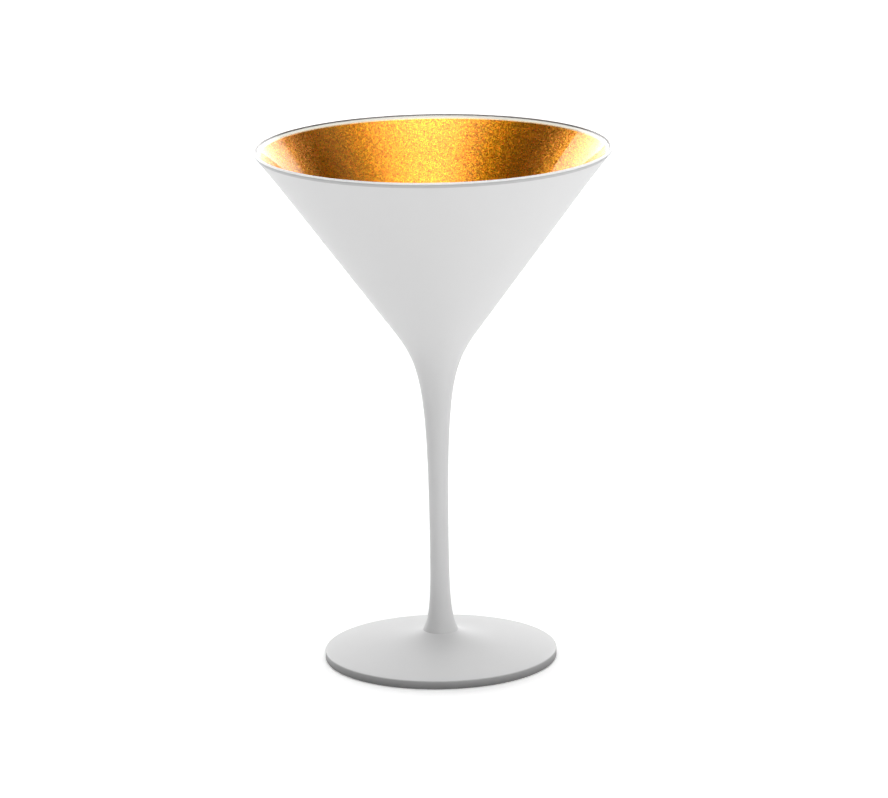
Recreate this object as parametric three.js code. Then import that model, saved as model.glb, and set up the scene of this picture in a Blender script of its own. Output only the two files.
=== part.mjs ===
// A martini glass in millimetres, +Z up, with its origin at the centre of the base.
//
// The clear glass is a conical bowl, a drawn stem and a disc foot, fused end to end.
// White lacquer covers the foot, the stem and the bowl from outside and goes over the lip, and
// gold lacquer lines the bowl. A thin ring inside the lip and the foot's underside stay bare.
//
// Every piece is turned about Z. A profile is a list of (radius, height) points.

import * as THREE from 'three';

// Driving dimensions
const HEIGHT = 171.5;
const RIM_RADIUS = 58;
const LIP_WALL = 1.12;
const CONE_HALF_ANGLE = THREE.MathUtils.degToRad(36.3);
const LIP_HALF_ANGLE = THREE.MathUtils.degToRad(38.7);
const LIP_FLARE_RADIUS = 380;
const BOWL_FLOOR_HEIGHT = 105;
const BOWL_FLOOR_ROUNDING = 14;
const BOWL_JOINT_HEIGHT = 92;
const CONE_START_HEIGHT = 116.4;
const WAIST_HEIGHT = 35;
const WAIST_RADIUS = 3.12;
const WELD_HEIGHT = 9.2;
const WELD_RADIUS = 5.82;
const FOOT_RADIUS = 38.25;
const FOOT_EDGE_HEIGHT = 3.05;
const FOOT_EDGE_ROUNDING = 0.5;
const FOOT_LAND_OUTER_RADIUS = 36.6;
const FOOT_LAND_INNER_RADIUS = 31;
const FOOT_DISH_DEPTH = 1.8;

// Coats, with the gap that keeps neighbouring solids apart
const GOLD_THICKNESS = 0.06;
const WHITE_THICKNESS = 0.1;
const GAP = 0.02;
const LIP_LACQUER_END = THREE.MathUtils.degToRad(95);
const GOLD_EDGE_BELOW_RIM = 0.45;
const WHITE_EDGE_ABOVE_BASE = 0.12;

// How far each end of a flare's curve pulls along its own tangent
const STEM_PULL_UP = 65;
const CONE_PULL_DOWN = 20.5;
const STEM_PULL_DOWN = 23;
const WELD_PULL_UP = 3.8;
const WELD_TILT = THREE.MathUtils.degToRad(16);
const FOOT_INNER_PULL = 9;
const FOOT_INNER_SLOPE = THREE.MathUtils.degToRad(24);
const FOOT_OUTER_PULL = 14;
const FOOT_OUTER_SLOPE = THREE.MathUtils.degToRad(11);

// Fineness of the turned surfaces
const SEGMENTS = 48;
const FLARE_STEPS = 6;
const STEM_STEPS = 5;
const LIP_FLARE_STEPS = 3;
const ROUNDING_STEPS = 3;
const LIP_SIDE_STEPS = 2;
const HALVINGS = 50;

// Depth of the glass below the lacquered outside
const UNDER_WHITE = WHITE_THICKNESS + GAP;

const glass = { color: 0xeef3f2, roughness: 0.03, metalness: 0, transparent: true, opacity: 0.35 };
const gold = { color: 0xd9981f, roughness: 0.3, metalness: 1 };
const white = { color: 0xe9e9e9, roughness: 0.55, metalness: 0 };

// The point at a distance from another, at an angle measured from the radius towards +Z
function offsetPoint(from, distance, angle) {
  return new THREE.Vector2(from.x + distance * Math.cos(angle), from.y + distance * Math.sin(angle));
}

// Points on an arc about a centre, from one angle to another, both ends included
function arc(centre, radius, fromAngle, toAngle, steps) {
  const points = [];
  for (let i = 0; i <= steps; i += 1) {
    points.push(offsetPoint(centre, radius, THREE.MathUtils.lerp(fromAngle, toAngle, i / steps)));
  }
  return points;
}

// The curve's own parameter at a height, on a curve that only rises
function parameterAtHeight(curve, height) {
  let low = 0;
  let high = 1;
  for (let i = 0; i < HALVINGS; i += 1) {
    const middle = (low + high) / 2;
    if (curve.getPoint(middle).y < height) low = middle;
    else high = middle;
  }
  return (low + high) / 2;
}

// Levels on a rising curve between two heights. A level is a radius, a height and how much
// wider than its own thickness a coat is there when it is measured along the radius.
function levels(curve, fromHeight, toHeight, steps) {
  const from = parameterAtHeight(curve, fromHeight);
  const to = parameterAtHeight(curve, toHeight);
  const found = [];
  for (let i = 0; i <= steps; i += 1) {
    const at = THREE.MathUtils.lerp(from, to, i / steps);
    const tangent = curve.getTangent(at);
    found.push({ radius: curve.getPoint(at).x, height: curve.getPoint(at).y, spread: 1 / tangent.y });
  }
  found[0].height = fromHeight;
  found[steps].height = toHeight;
  return found;
}

// The points of those levels, a depth below the lacquered outside
function inset(list, depth) {
  return list.map((level) => new THREE.Vector2(level.radius - depth * level.spread, level.height));
}

// The points of an open path moved square to it, towards its left-hand side
function pathInset(path, depth) {
  return path.map((point, i) => {
    const before = path[Math.max(i - 1, 0)];
    const after = path[Math.min(i + 1, path.length - 1)];
    const along = after.clone().sub(before).normalize();
    return new THREE.Vector2(point.x - along.y * depth, point.y + along.x * depth);
  });
}

// A closed ring profile between an outer and an inner line that run the same way
function skin(outer, inner) {
  return [...outer, ...inner.slice().reverse(), outer[0].clone()];
}

// One turned piece, from a profile that runs up the outside
function turned(name, profile, finish) {
  const geometry = new THREE.LatheGeometry(profile, SEGMENTS);
  geometry.rotateX(Math.PI / 2);
  const mesh = new THREE.Mesh(geometry, new THREE.MeshStandardMaterial(finish));
  mesh.name = name;
  return mesh;
}

// The lip is a full round. Below it the wall curves in about one centre outside the bowl, from
// the lip's angle to the cone's, so that both faces and the coats stay parallel there.
const lipRadius = LIP_WALL / 2;
const lipReach = lipRadius + UNDER_WHITE;
const lipCentre = new THREE.Vector2(RIM_RADIUS - lipReach, HEIGHT - lipReach);
const lipFlareCentre = offsetPoint(lipCentre, lipRadius + LIP_FLARE_RADIUS, -LIP_HALF_ANGLE);

// The lip's flare at a depth below the lacquered outside, from the cone up to the lip
function lipFlare(depth) {
  const radius = LIP_FLARE_RADIUS - UNDER_WHITE + depth;
  const coneEnd = Math.PI - CONE_HALF_ANGLE;
  const lipEnd = Math.PI - LIP_HALF_ANGLE;
  return new THREE.ArcCurve(lipFlareCentre.x, lipFlareCentre.y, radius, coneEnd, lipEnd, true);
}
const outerLipFlare = lipFlare(0);
const coneTop = outerLipFlare.getPoint(0);

// Radius of the lacquered outside on the straight cone, at a height
function coneRadius(height) {
  return coneTop.x - (coneTop.y - height) * Math.tan(CONE_HALF_ANGLE);
}

// The rest of the lacquered outside: the stem's lower flare and its upper flare into the cone
const weldPoint = new THREE.Vector2(WELD_RADIUS, WELD_HEIGHT);
const waistPoint = new THREE.Vector2(WAIST_RADIUS, WAIST_HEIGHT);
const coneStart = new THREE.Vector2(coneRadius(CONE_START_HEIGHT), CONE_START_HEIGHT);
const lowerFlare = new THREE.CubicBezierCurve(
  weldPoint,
  offsetPoint(weldPoint, WELD_PULL_UP, Math.PI / 2 + WELD_TILT),
  offsetPoint(waistPoint, -STEM_PULL_DOWN, Math.PI / 2),
  waistPoint,
);
const upperFlare = new THREE.CubicBezierCurve(
  waistPoint,
  offsetPoint(waistPoint, STEM_PULL_UP, Math.PI / 2),
  offsetPoint(coneStart, -CONE_PULL_DOWN, Math.PI / 2 - CONE_HALF_ANGLE),
  coneStart,
);

const flareLevels = levels(upperFlare, BOWL_JOINT_HEIGHT, CONE_START_HEIGHT, FLARE_STEPS);
const stemLevels = [
  ...levels(lowerFlare, WELD_HEIGHT, WAIST_HEIGHT, FLARE_STEPS),
  ...levels(upperFlare, WAIST_HEIGHT, BOWL_JOINT_HEIGHT, STEM_STEPS).slice(1),
];

// The bowl's levels from the joint, up the stem's flare, the straight cone and the lip's flare
const bowlLevels = [
  ...flareLevels,
  ...levels(outerLipFlare, coneTop.y, outerLipFlare.getPoint(1).y, LIP_FLARE_STEPS),
];

// Round the lip from the outside, with a point right at its side and one right at its top
function lipRound(radius, endAngle) {
  return [
    ...arc(lipCentre, radius, -LIP_HALF_ANGLE, 0, LIP_SIDE_STEPS),
    ...arc(lipCentre, radius, 0, Math.PI / 2, ROUNDING_STEPS).slice(1),
    ...arc(lipCentre, radius, Math.PI / 2, endAngle, LIP_SIDE_STEPS).slice(1),
  ];
}

// The glass's inner face moved a distance into the bowl: out along the rounded floor, then up
// the straight inner cone and the lip's flare to a height. The cone meets the floor's round at
// a tangent, so the wall thickens towards the floor.
function bowlInside(distance, topHeight) {
  const flare = lipFlare(UNDER_WHITE + LIP_WALL + distance);
  const rounding = BOWL_FLOOR_ROUNDING - distance;
  const floorCentre = new THREE.Vector2(0, BOWL_FLOOR_HEIGHT + BOWL_FLOOR_ROUNDING);
  const reach = flare.getPoint(0).sub(floorCentre);
  const halfAngle = Math.acos(rounding / reach.length()) - reach.angle();
  const flareLine = levels(flare, flare.getPoint(0).y, topHeight, LIP_FLARE_STEPS);
  return [
    ...arc(floorCentre, rounding, -Math.PI / 2, -halfAngle, FLARE_STEPS),
    ...inset(flareLine, 0),
  ];
}

// Glass bowl: up the outside, round the lip, down the inside and across the rounded floor
function glassBowlProfile() {
  const inside = bowlInside(0, lipFlare(UNDER_WHITE + LIP_WALL).getPoint(1).y);
  return [
    new THREE.Vector2(0, BOWL_JOINT_HEIGHT),
    ...inset(bowlLevels, UNDER_WHITE),
    ...lipRound(lipRadius, Math.PI - LIP_HALF_ANGLE).slice(1),
    ...inside.reverse().slice(1),
  ];
}

// Gold lining: up against the glass from the axis to its edge, and back down its free face
function goldProfile() {
  const edgeHeight = HEIGHT - GOLD_EDGE_BELOW_RIM;
  return [...bowlInside(GAP, edgeHeight), ...bowlInside(GAP + GOLD_THICKNESS, edgeHeight).reverse()];
}

// Glass stem: a solid rod with both flares
function glassStemProfile() {
  return [
    new THREE.Vector2(0, WELD_HEIGHT),
    ...inset(stemLevels, UNDER_WHITE),
    new THREE.Vector2(0, BOWL_JOINT_HEIGHT),
  ];
}

// The foot's lacquered outside, from its edge near the base, up the side and in to the weld
function footPath() {
  const lowerCentre = new THREE.Vector2(
    FOOT_RADIUS - FOOT_EDGE_ROUNDING,
    WHITE_EDGE_ABOVE_BASE + FOOT_EDGE_ROUNDING,
  );
  const upperCentre = new THREE.Vector2(
    FOOT_RADIUS - FOOT_EDGE_ROUNDING,
    FOOT_EDGE_HEIGHT - FOOT_EDGE_ROUNDING,
  );
  const shoulderAngle = Math.PI / 2 - FOOT_OUTER_SLOPE;
  const shoulder = offsetPoint(upperCentre, FOOT_EDGE_ROUNDING, shoulderAngle);
  const top = new THREE.CubicBezierCurve(
    shoulder,
    offsetPoint(shoulder, FOOT_OUTER_PULL, Math.PI - FOOT_OUTER_SLOPE),
    offsetPoint(weldPoint, FOOT_INNER_PULL, -FOOT_INNER_SLOPE),
    weldPoint,
  );
  return [
    ...arc(lowerCentre, FOOT_EDGE_ROUNDING, -Math.PI / 2, 0, ROUNDING_STEPS),
    ...arc(upperCentre, FOOT_EDGE_ROUNDING, 0, shoulderAngle, ROUNDING_STEPS),
    ...top.getPoints(FLARE_STEPS).slice(1),
  ];
}

// Glass foot: a shallow dish underneath, a flat resting land and the lacquered outside's inset
function glassFootProfile(path) {
  const chord = FOOT_LAND_INNER_RADIUS;
  const dishRadius = (chord * chord + FOOT_DISH_DEPTH * FOOT_DISH_DEPTH) / (2 * FOOT_DISH_DEPTH);
  const dishCentre = new THREE.Vector2(0, FOOT_DISH_DEPTH - dishRadius);
  const dishEnd = Math.acos(chord / dishRadius);
  const outside = pathInset(path, UNDER_WHITE);
  const topRadius = outside[outside.length - 1].x - GAP;
  return [
    ...arc(dishCentre, dishRadius, Math.PI / 2, dishEnd, ROUNDING_STEPS),
    new THREE.Vector2(FOOT_LAND_OUTER_RADIUS, 0),
    ...outside,
    new THREE.Vector2(topRadius, WELD_HEIGHT),
    new THREE.Vector2(0, WELD_HEIGHT),
  ];
}

const footOutside = footPath();
const whiteBowlProfile = skin(
  [...inset(bowlLevels, 0), ...lipRound(lipReach, LIP_LACQUER_END).slice(1)],
  [...inset(bowlLevels, WHITE_THICKNESS), ...lipRound(lipReach - WHITE_THICKNESS, LIP_LACQUER_END).slice(1)],
);
const whiteStemProfile = skin(inset(stemLevels, 0), inset(stemLevels, WHITE_THICKNESS));
const whiteFootProfile = skin(footOutside, pathInset(footOutside, WHITE_THICKNESS));

const martiniGlass = new THREE.Group();
martiniGlass.add(turned('glass_bowl', glassBowlProfile(), glass));
martiniGlass.add(turned('glass_stem', glassStemProfile(), glass));
martiniGlass.add(turned('glass_foot', glassFootProfile(footOutside), glass));
martiniGlass.add(turned('gold_lacquer', goldProfile(), gold));
martiniGlass.add(turned('bowl_lacquer', whiteBowlProfile, white));
martiniGlass.add(turned('stem_lacquer', whiteStemProfile, white));
martiniGlass.add(turned('foot_lacquer', whiteFootProfile, white));

export default martiniGlass;
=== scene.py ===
"""A martini glass of clear glass, lacquered white outside and lined with gold lacquer.

Metres, +Z up, with the origin at the centre of the base. Every piece is turned about Z, and an
outline is a list of (radius, height) points. Depths are measured inwards from the lacquered
outside, as in the CAD model that the pieces stand for.
"""

import math

import bpy
from mathutils import Matrix, Vector


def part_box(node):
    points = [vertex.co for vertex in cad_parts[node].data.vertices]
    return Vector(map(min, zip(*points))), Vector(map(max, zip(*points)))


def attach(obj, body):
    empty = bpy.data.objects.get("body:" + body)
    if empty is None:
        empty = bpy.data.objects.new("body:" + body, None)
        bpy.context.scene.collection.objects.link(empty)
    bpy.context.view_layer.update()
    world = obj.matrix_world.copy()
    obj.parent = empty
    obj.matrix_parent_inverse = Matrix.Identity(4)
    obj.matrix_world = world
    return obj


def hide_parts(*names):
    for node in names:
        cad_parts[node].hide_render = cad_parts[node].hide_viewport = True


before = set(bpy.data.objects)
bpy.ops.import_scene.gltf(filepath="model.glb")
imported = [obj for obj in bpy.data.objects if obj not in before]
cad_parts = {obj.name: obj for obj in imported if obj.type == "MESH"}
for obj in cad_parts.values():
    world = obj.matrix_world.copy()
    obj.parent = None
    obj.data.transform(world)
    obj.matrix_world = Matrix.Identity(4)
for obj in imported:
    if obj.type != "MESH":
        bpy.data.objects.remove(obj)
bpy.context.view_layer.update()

MM = 0.001

# Sizes read from the CAD model
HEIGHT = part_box("bowl_lacquer")[1].z
RIM_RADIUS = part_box("bowl_lacquer")[1].x
WELD_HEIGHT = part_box("glass_stem")[0].z
FOOT_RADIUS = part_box("foot_lacquer")[1].x
WHITE_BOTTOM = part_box("foot_lacquer")[0].z
GOLD_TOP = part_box("gold_lacquer")[1].z

# The bowl's walls, lip and floor
LIP_WALL = 1.12 * MM
CONE_HALF_ANGLE = math.radians(36.3)
LIP_HALF_ANGLE = math.radians(38.7)
LIP_FLARE_RADIUS = 380 * MM
LIP_LACQUER_END = math.radians(95)
BOWL_FLOOR_HEIGHT = 105 * MM
BOWL_FLOOR_ROUNDING = 14 * MM
CONE_START_HEIGHT = 116.4 * MM

# The stem and the foot
WAIST_HEIGHT = 35 * MM
WAIST_RADIUS = 3.12 * MM
WELD_RADIUS = 5.82 * MM
FOOT_EDGE_HEIGHT = 3.05 * MM
FOOT_EDGE_ROUNDING = 0.5 * MM
FOOT_LAND_OUTER_RADIUS = 36.6 * MM
FOOT_LAND_INNER_RADIUS = 31 * MM
FOOT_DISH_DEPTH = 1.8 * MM

# How far each end of a flare's curve pulls along its own tangent
STEM_PULL_UP = 65 * MM
CONE_PULL_DOWN = 20.5 * MM
STEM_PULL_DOWN = 23 * MM
WELD_PULL_UP = 3.8 * MM
WELD_TILT = math.radians(16)
FOOT_INNER_PULL = 9 * MM
FOOT_INNER_SLOPE = math.radians(24)
FOOT_OUTER_PULL = 14 * MM
FOOT_OUTER_SLOPE = math.radians(11)

# The coats. Each reaches a little way into the glass, because lacquer that is bonded to glass
# has no air behind it to mirror the light.
UNDER_WHITE = 0.12 * MM
GOLD_PROUD = 0.08 * MM
BOND = 0.01 * MM

# Heights between which painted shade on the white coat pales up the foot's edge, where the foot's top
# begins, and where the coat turns to a painted grey shade line and then a painted white highlight on the
# lip
FOOT_PAINTED_SHADE_LOW = 0.2 * MM
FOOT_PAINTED_SHADE_HIGH = 2.6 * MM
FOOT_TOP_START = 3 * MM
LIP_PAINTED_SHADE_START = HEIGHT - 1.72 * MM
LIP_PAINTED_SHADE_FULL = HEIGHT - 1.58 * MM
LIP_PAINTED_HIGHLIGHT_START = HEIGHT - 0.6 * MM
LIP_PAINTED_HIGHLIGHT_FULL = HEIGHT - 0.45 * MM

# Heights between which the gold turns into a painted pale highlight, and the sizes and tilts of its flakes
GOLD_PAINTED_HIGHLIGHT_START = HEIGHT - 1.45 * MM
GOLD_PAINTED_HIGHLIGHT_FULL = HEIGHT - 0.9 * MM
GOLD_EDGE_ROUNDING = 1.4
FLAKE_SIZE = 0.25 * MM
FLAKE_TILT = 0.32
CLUSTER_SIZE = 0.6 * MM
CLUSTER_TILT = 0.07

# Fineness of the turned surfaces, how sharp a corner has to be to stay sharp, and the radius below
# which a point counts as being on the axis
SEGMENTS = 256
FLARE_STEPS = 24
STEM_STEPS = 40
CONE_STEPS = 6
ROUNDING_STEPS = 8
EDGE_STEPS = 6
CREASE_ANGLE = math.radians(40)
ON_AXIS = 0.0001 * MM


# --- Outlines -------------------------------------------------------------------------------


def offset_point(start, distance, angle):
    """The point at a distance from another, at an angle measured from the radius towards +Z."""
    return Vector((start[0] + distance * math.cos(angle), start[1] + distance * math.sin(angle)))


def arc(centre, radius, start, end, steps):
    """Points round a centre from one angle to another, both ends included."""
    return [offset_point(centre, radius, start + (end - start) * i / steps) for i in range(steps + 1)]


def line(start, end, steps):
    """Evenly spaced points from one to another, both ends included."""
    return [start.lerp(end, i / steps) for i in range(steps + 1)]


def curve(start, start_pull, end_pull, end, steps):
    """Points on a cubic Bezier curve, both ends included."""
    points = []
    for i in range(steps + 1):
        t = i / steps
        s = 1 - t
        points.append(start * s**3 + start_pull * 3 * s * s * t + end_pull * 3 * s * t * t + end * t**3)
    return points


def join(*runs):
    """Runs of points as one, with the point that two neighbours share kept once."""
    joined = list(runs[0])
    for run in runs[1:]:
        joined += run[1:]
    return joined


def inset(path, depth):
    """A path moved square to itself, towards its left-hand side."""
    moved = []
    for i, point in enumerate(path):
        along = (path[min(i + 1, len(path) - 1)] - path[max(i - 1, 0)]).normalized()
        moved.append(Vector((point[0] - along[1] * depth, point[1] + along[0] * depth)))
    return moved


def up_to(path, height):
    """A path that ends by rising, cut where it reaches a height."""
    kept = [point for point in path if point[1] < height]
    over = path[len(kept)]
    return kept + [kept[-1].lerp(over, (height - kept[-1][1]) / (over[1] - kept[-1][1]))]


lip_radius = LIP_WALL / 2
lip_reach = lip_radius + UNDER_WHITE
lip_centre = Vector((RIM_RADIUS - lip_reach, HEIGHT - lip_reach))
lip_flare_centre = offset_point(lip_centre, lip_radius + LIP_FLARE_RADIUS, -LIP_HALF_ANGLE)


def lip_flare(depth):
    """The curve of the wall just under the lip, from the cone up to the lip."""
    radius = LIP_FLARE_RADIUS - UNDER_WHITE + depth
    return arc(lip_flare_centre, radius, math.pi - CONE_HALF_ANGLE, math.pi - LIP_HALF_ANGLE, FLARE_STEPS)


def foot_outline():
    """The foot's lacquered outside: from under its edge, up the side and in to the stem."""
    edge = FOOT_RADIUS - FOOT_EDGE_ROUNDING
    lower = Vector((edge, WHITE_BOTTOM + FOOT_EDGE_ROUNDING))
    upper = Vector((edge, FOOT_EDGE_HEIGHT - FOOT_EDGE_ROUNDING))
    shoulder_angle = math.pi / 2 - FOOT_OUTER_SLOPE
    shoulder = offset_point(upper, FOOT_EDGE_ROUNDING, shoulder_angle)
    weld = Vector((WELD_RADIUS, WELD_HEIGHT))
    top = curve(
        shoulder,
        offset_point(shoulder, FOOT_OUTER_PULL, math.pi - FOOT_OUTER_SLOPE),
        offset_point(weld, FOOT_INNER_PULL, -FOOT_INNER_SLOPE),
        weld,
        FLARE_STEPS,
    )
    side = arc(lower, FOOT_EDGE_ROUNDING, -math.pi / 2, 0, ROUNDING_STEPS)
    side += arc(upper, FOOT_EDGE_ROUNDING, 0, shoulder_angle, ROUNDING_STEPS)
    return join(side, top)


def rising_outline():
    """The rest of the lacquered outside: the stem, its flare into the cone, and the bowl up to its lip."""
    weld = Vector((WELD_RADIUS, WELD_HEIGHT))
    waist = Vector((WAIST_RADIUS, WAIST_HEIGHT))
    flare = lip_flare(0)
    cone_drop = flare[0][1] - CONE_START_HEIGHT
    cone_start = Vector((flare[0][0] - cone_drop * math.tan(CONE_HALF_ANGLE), CONE_START_HEIGHT))
    lower = curve(
        weld,
        offset_point(weld, WELD_PULL_UP, math.pi / 2 + WELD_TILT),
        offset_point(waist, -STEM_PULL_DOWN, math.pi / 2),
        waist,
        FLARE_STEPS,
    )
    upper = curve(
        waist,
        offset_point(waist, STEM_PULL_UP, math.pi / 2),
        offset_point(cone_start, -CONE_PULL_DOWN, math.pi / 2 - CONE_HALF_ANGLE),
        cone_start,
        STEM_STEPS,
    )
    return join(lower, upper, line(cone_start, flare[0], CONE_STEPS), flare)


outline = join(foot_outline(), rising_outline())


def lip_round(radius, end):
    """Round the lip from the outside, with a point right at its side and one right at its top."""
    side = arc(lip_centre, radius, -LIP_HALF_ANGLE, 0, ROUNDING_STEPS)
    top = arc(lip_centre, radius, 0, math.pi / 2, ROUNDING_STEPS)
    return join(side, top, arc(lip_centre, radius, math.pi / 2, end, ROUNDING_STEPS))


def inside_outline(distance):
    """The glass's inner face moved a distance into the bowl: the rounded floor, the cone and the flare."""
    flare = lip_flare(UNDER_WHITE + LIP_WALL + distance)
    rounding = BOWL_FLOOR_ROUNDING - distance
    floor_centre = Vector((0, BOWL_FLOOR_HEIGHT + BOWL_FLOOR_ROUNDING))
    reach = flare[0] - floor_centre
    half_angle = math.acos(rounding / reach.length) - math.atan2(reach[1], reach[0])
    floor = arc(floor_centre, rounding, -math.pi / 2, -half_angle, FLARE_STEPS)
    return join(floor, line(floor[-1], flare[0], CONE_STEPS), flare)


def edge_round(start, end):
    """A half-round edge on a coat, from its outer face to its inner one."""
    centre = (start + end) / 2
    spoke = start - centre
    angle = math.atan2(spoke[1], spoke[0])
    return arc(centre, spoke.length, angle, angle + math.pi, EDGE_STEPS)


def glass_outline():
    """The whole glass: dished underside, outside, lip, inside and rounded floor."""
    chord = FOOT_LAND_INNER_RADIUS
    dish_radius = (chord * chord + FOOT_DISH_DEPTH * FOOT_DISH_DEPTH) / (2 * FOOT_DISH_DEPTH)
    dish_centre = Vector((0, FOOT_DISH_DEPTH - dish_radius))
    dish = arc(dish_centre, dish_radius, math.pi / 2, math.acos(chord / dish_radius), FLARE_STEPS)
    land = Vector((FOOT_LAND_OUTER_RADIUS, 0))
    lip = lip_round(lip_radius, math.pi - LIP_HALF_ANGLE)
    return dish + [land] + join(inset(outline, UNDER_WHITE), lip, inside_outline(0)[::-1])


def gold_outline():
    """The gold lining: up along the glass from the axis, round its edge and back down its free face. Gives
    the number of bands that lie on the glass as well."""
    against = up_to(inside_outline(-BOND), GOLD_TOP)
    free = up_to(inside_outline(GOLD_PROUD), GOLD_TOP)
    return join(against, edge_round(against[-1], free[-1]), free[::-1]), len(against) - 1


def white_outline():
    """The white coat: over the foot, the stem, the bowl and the lip's top, with both edges rounded. Gives
    the first band that lies on the glass and the one after the last as well."""
    outer = join(outline, lip_round(lip_reach, LIP_LACQUER_END))
    inner = join(inset(outline, UNDER_WHITE + BOND), lip_round(lip_radius - BOND, LIP_LACQUER_END))
    top = edge_round(outer[-1], inner[-1])
    bottom = edge_round(inner[0], outer[0])
    whole = join(outer, top, inner[::-1], bottom[:-1])
    return whole, len(outer) + len(top) - 2, len(outer) + len(top) + len(inner) - 3


# --- Pieces ---------------------------------------------------------------------------------


def turned(name, profile, closed, materials, first_band=0, last_band=0):
    """A mesh turned about Z from an outline that runs up the outside. One that isn't closed starts and ends
    on the axis. The bands from the first one given to before the last take the second material."""
    vertices = []
    rings = []
    for radius, height in profile:
        if radius < ON_AXIS:
            rings.append([len(vertices)] * SEGMENTS)
            vertices.append((0.0, 0.0, height))
            continue
        rings.append(list(range(len(vertices), len(vertices) + SEGMENTS)))
        for i in range(SEGMENTS):
            angle = 2 * math.pi * i / SEGMENTS
            vertices.append((radius * math.cos(angle), radius * math.sin(angle), height))
    faces = []
    slots = []
    following_rings = rings[1:] + rings[:1] if closed else rings[1:]
    for band, (low, high) in enumerate(zip(rings, following_rings)):
        slots += [int(first_band <= band < last_band)] * SEGMENTS
        for i in range(SEGMENTS):
            following = (i + 1) % SEGMENTS
            corners = [low[i], low[following], high[following], high[i]]
            faces.append(list(dict.fromkeys(corners)))
    mesh = bpy.data.meshes.new(name)
    mesh.from_pydata(vertices, [], faces)
    for material in materials:
        mesh.materials.append(material)
    mesh.polygons.foreach_set("material_index", slots)
    mesh.shade_smooth()
    mesh.set_sharp_from_angle(angle=CREASE_ANGLE)
    piece = bpy.data.objects.new(name, mesh)
    bpy.context.scene.collection.objects.link(piece)
    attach(piece, "root")
    return piece


# --- Materials ------------------------------------------------------------------------------


class Nodes:
    """Adds nodes to a new material and joins them up."""

    def __init__(self, name):
        self.material = bpy.data.materials.new(name)
        self.material.use_nodes = True
        self.tree = self.material.node_tree
        self.shader = self.tree.nodes["Principled BSDF"]
        self.place = self.add("ShaderNodeTexCoord").outputs["Object"]

    def add(self, kind, settings=None, **inputs):
        node = self.tree.nodes.new(kind)
        for name, value in (settings or {}).items():
            setattr(node, name, value)
        for name, value in inputs.items():
            self.feed(node.inputs[name.replace("_", " ")], value)
        return node

    def feed(self, socket, value):
        if isinstance(value, bpy.types.NodeSocket):
            self.tree.links.new(value, socket)
        else:
            socket.default_value = value

    def noise(self, size, detail=2.0, roughness=0.5):
        """Smooth noise from 0 to 1 whose features are about that size."""
        return self.add(
            "ShaderNodeTexNoise", Vector=self.place, Scale=1 / size, Detail=detail, Roughness=roughness
        ).outputs["Fac"]

    def above(self, low, high):
        """0 below one height, and 1 above a higher one."""
        height = self.add("ShaderNodeSeparateXYZ", Vector=self.place).outputs["Z"]
        return self.add("ShaderNodeMapRange", Value=height, From_Min=low, From_Max=high).outputs["Result"]

    def cells(self, size):
        """Flakes of about that size: a random colour for each."""
        return self.add("ShaderNodeTexVoronoi", Vector=self.place, Scale=1 / size).outputs["Color"]

    def scaled(self, value, low, high):
        """A value from 0 to 1 spread from low to high."""
        node = self.add("ShaderNodeMapRange")
        self.feed(node.inputs["Value"], value)
        node.inputs["To Min"].default_value = low
        node.inputs["To Max"].default_value = high
        return node.outputs["Result"]

    def vector(self, operation, first, second=None, scale=None):
        """The result of a vector operation: a number for a length, and otherwise a vector."""
        node = self.add("ShaderNodeVectorMath", {"operation": operation})
        self.feed(node.inputs[0], first)
        if second is not None:
            self.feed(node.inputs[1], second)
        if scale is not None:
            self.feed(node.inputs["Scale"], scale)
        return node.outputs["Value" if operation == "LENGTH" else "Vector"]

    def mix(self, factor, first, second):
        """The first colour where the factor is 0, and the second where it is 1."""
        node = self.add("ShaderNodeMix", {"data_type": "RGBA"})
        self.feed(node.inputs[0], factor)
        self.feed(node.inputs[6], first)
        self.feed(node.inputs[7], second)
        return node.outputs[2]

    def bump(self, height, depth, under=None):
        """A normal roughened by a height from 0 to 1 times a depth, on top of the normal under it."""
        node = self.add("ShaderNodeBump", Height=height, Distance=depth)
        if under is not None:
            self.feed(node.inputs["Normal"], under)
        return node.outputs["Normal"]

    def finish(self, **sockets):
        """Sets the shader's sockets, and gives the material."""
        for name, value in sockets.items():
            self.feed(self.shader.inputs[name.replace("_", " ")], value)
        return self.material


def white_lacquer():
    """Satin white lacquer: a fine sprayed grain, with a little unevenness in its tone and sheen. Painted
    shade turns it grey on the foot's edge and in a band on the turn of the lip, and a painted highlight
    whitens the lip's top."""
    n = Nodes("white_lacquer")
    tone = n.mix(n.noise(28 * MM), (0.64, 0.64, 0.642, 1), (0.66, 0.66, 0.661, 1))
    # Painted shade: the foot's edge is coloured dark grey, paler towards its top, for the shade it sits in
    # near the floor
    painted_foot_shade = n.mix(n.above(FOOT_PAINTED_SHADE_LOW, FOOT_PAINTED_SHADE_HIGH), (0.13, 0.13, 0.13, 1), (0.3, 0.3, 0.3, 1))
    tone = n.mix(n.above(FOOT_PAINTED_SHADE_HIGH, FOOT_TOP_START), painted_foot_shade, tone)
    # Painted shade: a grey band on the turn of the lip, where the lip shows a shaded grey line
    tone = n.mix(n.above(LIP_PAINTED_SHADE_START, LIP_PAINTED_SHADE_FULL), tone, (0.46, 0.46, 0.465, 1))
    # Painted highlight: the coat is near white on the lip's top, where the lip catches a bright highlight
    tone = n.mix(n.above(LIP_PAINTED_HIGHLIGHT_START, LIP_PAINTED_HIGHLIGHT_FULL), tone, (0.93, 0.93, 0.92, 1))
    sheen = n.scaled(n.noise(6 * MM, detail=3), 0.44, 0.52)
    grain = n.bump(n.noise(0.35 * MM, detail=3, roughness=0.6), 0.004 * MM)
    peel = n.bump(n.noise(2.2 * MM), 0.006 * MM, under=grain)
    return n.finish(Base_Color=tone, Roughness=sheen, Normal=peel)


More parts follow.
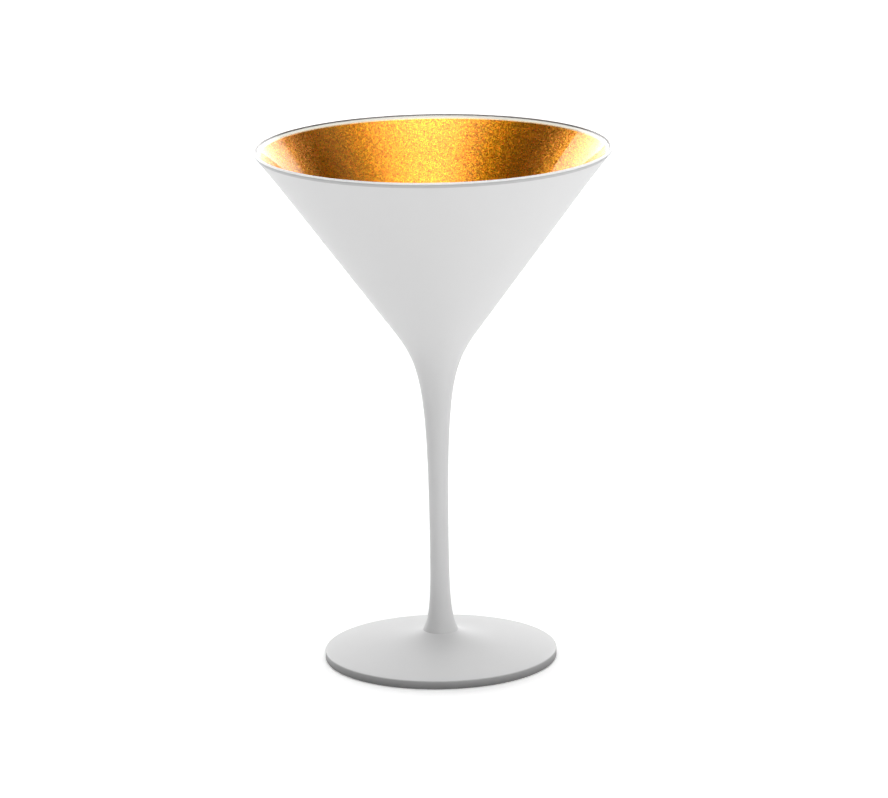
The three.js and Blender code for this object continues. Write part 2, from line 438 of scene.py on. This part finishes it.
def white_primer():
    """Bright, matt undercoat: what shows of the coats through the glass."""
    n = Nodes("white_primer")
    tone = n.mix(n.noise(3 * MM), (0.9, 0.9, 0.9, 1), (0.94, 0.94, 0.94, 1))
    return n.finish(Base_Color=tone, Roughness=0.7, Specular_IOR_Level=0.0)


def gold_lacquer():
    """Gold flakes under clear varnish. Flat flakes are yellow, and tilted ones lie deeper and redder. Just
    inside the lip the coat turns pale and not metallic, a painted highlight, and its normal leans up."""
    n = Nodes("gold_lacquer")
    normal = n.add("ShaderNodeNewGeometry").outputs["Normal"]
    middle = (0.5, 0.5, 0.5)
    flakes = n.vector("SCALE", n.vector("SUBTRACT", n.cells(FLAKE_SIZE), middle), scale=FLAKE_TILT)
    clusters = n.vector("SCALE", n.vector("SUBTRACT", n.cells(CLUSTER_SIZE), middle), scale=CLUSTER_TILT)
    # Painted highlight: a pale band at the coat's top edge, not metallic and without flakes, stands for the
    # lip's highlight
    painted_highlight = n.above(GOLD_PAINTED_HIGHLIGHT_START, GOLD_PAINTED_HIGHLIGHT_FULL)
    tilt = n.vector("SCALE", n.vector("ADD", flakes, clusters), scale=n.scaled(painted_highlight, 1.0, 0.0))
    rounding = n.vector("SCALE", (0, 0, 1), scale=n.scaled(painted_highlight, 0.0, GOLD_EDGE_ROUNDING))
    leaning = n.vector("NORMALIZE", n.vector("ADD", n.vector("ADD", normal, tilt), rounding))
    steep = n.vector("LENGTH", tilt)
    colour = n.mix(n.scaled(steep, -0.25, 4.0), (1.0, 0.55, 0.014, 1), (0.86, 0.04, 0.008, 1))
    return n.finish(
        Base_Color=n.mix(painted_highlight, colour, (1.0, 1.0, 0.9, 1)),
        Metallic=n.scaled(painted_highlight, 1.0, 0.0),
        Roughness=n.scaled(steep, 0.18, 1.25),
        Normal=leaning,
        Coat_Weight=0.8,
        Coat_Roughness=0.02,
        Coat_IOR=1.5,
    )


def clear_glass():
    """Clear, slightly wavy drawn glass."""
    n = Nodes("clear_glass")
    wave = n.bump(n.noise(14 * MM, detail=1), 0.02 * MM)
    return n.finish(
        Base_Color=(0.975, 0.99, 0.983, 1), Roughness=0.0, IOR=1.5, Transmission_Weight=1.0, Normal=wave
    )


def floor_paint():
    """Matt, pale floor, lit faintly from below like a light table."""
    n = Nodes("floor_paint")
    tone = n.mix(n.noise(400 * MM), (0.93, 0.93, 0.93, 1), (0.95, 0.95, 0.95, 1))
    return n.finish(
        Base_Color=tone,
        Roughness=0.9,
        Specular_IOR_Level=0.2,
        Emission_Color=(1, 1, 1, 1),
        Emission_Strength=0.2,
    )


# --- Studio ---------------------------------------------------------------------------------


def make_camera():
    """A long lens, 14 degrees above the horizon, with the slight roll of a hand-set tripod."""
    data = bpy.data.cameras.new("camera")
    data.sensor_width = 36
    data.lens = 205.14
    data.clip_start = 0.05
    data.clip_end = 50
    camera = bpy.data.objects.new("camera", data)
    bpy.context.scene.collection.objects.link(camera)
    camera.location = (0, -1.6061, 0.4889)
    aim = Vector((0.0023, 0, 0.0876))
    roll = math.radians(-0.914)
    facing = (aim - camera.location).to_track_quat("-Z", "Y").to_matrix().to_4x4()
    camera.matrix_world = Matrix.Translation(camera.location) @ facing @ Matrix.Rotation(roll, 4, "Z")
    bpy.context.scene.camera = camera


def make_floor():
    """A wide round floor, level with the base."""
    mesh = bpy.data.meshes.new("floor")
    reach = 6.0
    corners = 96
    ring = [2 * math.pi * i / corners for i in range(corners)]
    mesh.from_pydata([(reach * math.cos(a), reach * math.sin(a), 0) for a in ring], [], [range(corners)])
    mesh.materials.append(floor_paint())
    floor = bpy.data.objects.new("floor", mesh)
    bpy.context.scene.collection.objects.link(floor)


def towards(azimuth, elevation):
    """A unit vector. Azimuth 0 is the camera's side, and 90 is +X."""
    a, e = math.radians(azimuth), math.radians(elevation)
    return Vector((math.sin(a) * math.cos(e), -math.cos(a) * math.cos(e), math.sin(e)))


def softbox(name, azimuth, elevation, distance, width, height, brightness):
    """An even panel of light that faces the bowl. Brightness is the panel's radiance, so a panel seen in a
    mirror looks that bright."""
    data = bpy.data.lights.new(name, "AREA")
    data.shape = "RECTANGLE"
    data.size = width
    data.size_y = height
    data.energy = brightness * math.pi * width * height
    light = bpy.data.objects.new(name, data)
    bpy.context.scene.collection.objects.link(light)
    away = towards(azimuth, elevation)
    centre = Vector((0, 0, HEIGHT / 2))
    light.location = centre + away * distance
    light.rotation_mode = "QUATERNION"
    light.rotation_quaternion = (-away).to_track_quat("-Z", "Y")
    light.visible_camera = False


class Sky:
    """The studio's walls and ceiling: soft-edged glows and a bright band, in an otherwise dark room."""

    def __init__(self):
        world = bpy.data.worlds.new("studio")
        world.use_nodes = True
        bpy.context.scene.world = world
        self.tree = world.node_tree
        self.direction = self.tree.nodes.new("ShaderNodeTexCoord").outputs["Generated"]
        self.background = self.tree.nodes["Background"]
        self.total = 0.0

    def math(self, operation, first, second, name=""):
        node = self.tree.nodes.new("ShaderNodeMath")
        node.operation = operation
        node.name = name or node.name
        for socket, value in zip(node.inputs, (first, second)):
            if isinstance(value, bpy.types.NodeSocket):
                self.tree.links.new(value, socket)
            else:
                socket.default_value = value
        return node.outputs[0]

    def ramp(self, value, start, end):
        """0 at the start and 1 at the end, with a smooth rise between them."""
        node = self.tree.nodes.new("ShaderNodeMapRange")
        node.interpolation_type = "SMOOTHSTEP"
        self.tree.links.new(value, node.inputs["Value"])
        node.inputs["From Min"].default_value = start
        node.inputs["From Max"].default_value = end
        return node.outputs["Result"]

    def along(self, way):
        """How nearly a direction points one way: 1 when it does."""
        node = self.tree.nodes.new("ShaderNodeVectorMath")
        node.operation = "DOT_PRODUCT"
        self.tree.links.new(self.direction, node.inputs[0])
        node.inputs[1].default_value = way
        return node.outputs["Value"]

    def glow(self, name, azimuth, elevation, inner, outer, brightness):
        """A round glow: full out to the inner angle, and gone at the outer one."""
        near = self.along(towards(azimuth, elevation))
        shape = self.ramp(near, math.cos(math.radians(outer)), math.cos(math.radians(inner)))
        self.total = self.math("ADD", self.total, self.math("MULTIPLY", shape, brightness, name))

    def horizon(self, name, full, gone, brightness):
        """A band of light round the horizon, full up to one elevation and gone at a higher one."""
        up = self.along((0, 0, 1))
        shape = self.ramp(up, math.sin(math.radians(gone)), math.sin(math.radians(full)))
        self.total = self.math("ADD", self.total, self.math("MULTIPLY", shape, brightness, name))

    def finish(self):
        self.tree.links.new(self.total, self.background.inputs["Strength"])
        self.background.inputs["Color"].default_value = (1, 1, 1, 1)


def make_studio():
    """Light from overhead, the front and the back, brighter patches at the sides, and the floor."""
    sky = Sky()
    sky.horizon("horizon", 3.2, 5, 1.0)
    sky.glow("front", 0, 30, 2, 36, 0.3)
    sky.glow("front_high", 8, 58, 2, 38, 1.3)
    sky.glow("front_top", 0, 70, 3, 20, 0.8)
    sky.glow("right_high", 68, 50, 2, 34, 0.3)
    sky.glow("top", 0, 90, 2, 36, 1.8)
    sky.glow("back_high", 180, 60, 2, 36, 0.7)
    sky.glow("back", 180, 30, 2, 36, 0.8)
    sky.glow("back_low", 180, 0, 2, 36, 1.1)
    sky.glow("right_back", 150, 12, 14, 23, 2.5)
    sky.finish()
    softbox("left_back", -140, 13, 1.8, 1.5, 1.2, 2.9)
    softbox("right_card", 78, 2, 0.7, 0.6, 0.3, 1.8)
    make_floor()


# --- The scene ------------------------------------------------------------------------------

make_camera()
glass = turned("glass", glass_outline(), False, [clear_glass()])
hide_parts("glass_bowl", "glass_stem", "glass_foot")
gold_line, gold_against = gold_outline()
primer = white_primer()
gold = turned("gold_lining", gold_line, False, [gold_lacquer(), primer], 0, gold_against)
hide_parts("gold_lacquer")
white_line, white_against, white_free = white_outline()
white = turned("white_coat", white_line, True, [white_lacquer(), primer], white_against, white_free)
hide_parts("bowl_lacquer", "stem_lacquer", "foot_lacquer")
make_studio()
bpy.context.scene.view_settings.view_transform = "Standard"
